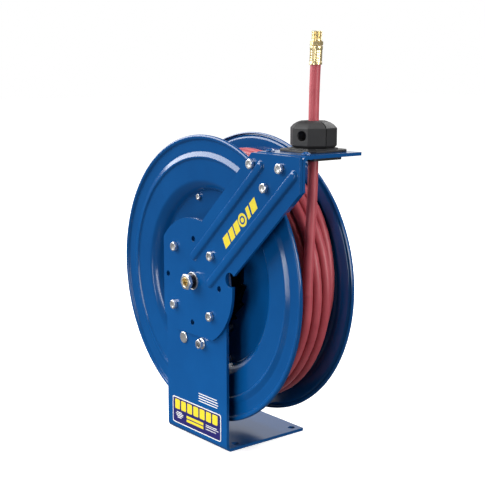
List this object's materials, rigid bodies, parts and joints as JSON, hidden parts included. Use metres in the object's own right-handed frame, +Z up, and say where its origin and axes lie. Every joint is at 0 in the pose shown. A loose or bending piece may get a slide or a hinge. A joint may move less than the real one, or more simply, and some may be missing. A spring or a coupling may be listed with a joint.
{
  "type": "spring-rewind hose reel",
  "caption": "Spring-rewind air hose reel: bent-plate pedestal, slanted guide arm, drum between two dished discs with wound hose, air swivel, ratchet latch and split hose stop.",
  "frame": {"origin": "centre of the foot plate's underside, on the floor", "axes": "+Z up; +X to the side where the hose leaves the drum; +Y from the post towards the drum, along the axle"},
  "size_m": [0.459, 0.1751, 0.6213],
  "materials": {
    "blue_paint": "gloss powder coat",
    "zinc": "bright zinc plate",
    "steel": "plain turned steel",
    "spring_steel": "blued, oiled",
    "brass": "machined",
    "bronze": "sintered bronze",
    "black_plastic": "moulded, satin",
    "black_rubber": "moulded, matt",
    "red_hose": "smooth extruded, satin"
  },
  "bodies": {
    "frame": {"pedestal": "blue_paint", "guide_arm": "blue_paint", "guide_bracket": "blue_paint", "hub_housing": "steel", "front_bearing": "bronze", "rear_bearing": "bronze", "arm_bolt_1": "zinc", "arm_bolt_2": "zinc", "arm_bolt_3": "zinc", "arm_bolt_4": "zinc", "arm_nut_1": "zinc", "arm_nut_2": "zinc", "arm_nut_3": "zinc", "arm_nut_4": "zinc", "bracket_bolt_1": "zinc", "bracket_bolt_2": "zinc", "bracket_bolt_3": "zinc", "bracket_nut_1": "zinc", "bracket_nut_2": "zinc", "bracket_nut_3": "zinc", "guide_plate_upper": "black_plastic", "guide_plate_lower": "black_plastic", "guide_bolt_1": "blue_paint", "guide_bolt_2": "blue_paint", "latch_pin": "zinc", "latch_bolt": "steel", "latch_nut": "zinc", "latch_spring": "spring_steel", "hose_run": "red_hose"},
    "drum": {"front_disc": "blue_paint", "rear_disc": "blue_paint", "drum_shell": "blue_paint", "spring_cover": "blue_paint", "mainspring": "spring_steel", "shaft": "steel", "shaft_collar": "zinc", "shaft_washer": "zinc", "shaft_nut": "zinc", "ratchet_wheel": "steel", "riser_pipe": "steel", "wound_hose": "red_hose", "tie_bolt_1": "zinc", "tie_bolt_2": "zinc", "tie_bolt_3": "zinc", "tie_bolt_4": "zinc", "tie_nut_1": "zinc", "tie_nut_2": "zinc", "tie_nut_3": "zinc", "tie_nut_4": "zinc"},
    "swivel": {"swivel_body": "zinc", "swivel_insert": "brass", "swivel_seal": "black_rubber"},
    "pawl": {"latch_pawl": "steel"},
    "hose_end": {"stop_front": "black_rubber", "stop_back": "black_rubber", "stop_screw_1": "spring_steel", "stop_screw_2": "spring_steel", "hose_tail": "red_hose", "ferrule": "brass", "hose_fitting": "brass"}
  },
  "joints": [
    {"name": "drum_spin", "type": "hinge", "parent": "frame", "child": "drum", "pos_m": [0, 0, 0.253], "axis": [0, -1, 0], "range_deg": [0, 360], "stiffness_Nm_per_rad": 1.2, "springref_deg": -229.18},
    {"name": "hose_pull", "type": "slide", "parent": "frame", "child": "hose_end", "axis": [0, 0, 1], "range_m": [0, 1.17]},
    {"name": "pawl_lift", "type": "hinge", "parent": "frame", "child": "pawl", "pos_m": [0.016, -0.0447, 0.1575], "axis": [0, 1, 0], "range_deg": [0, 25], "stiffness_Nm_per_rad": 0.05, "springref_deg": -20.05},
    {"name": "swivel_turn", "type": "hinge", "parent": "frame", "child": "swivel", "pos_m": [0, -0.09, 0.253], "axis": [0, -1, 0], "continuous": true}
  ],
  "couplings": [
    {"joint": "hose_pull", "follows": "drum_spin", "m_per_rad": 0.185}
  ]
}
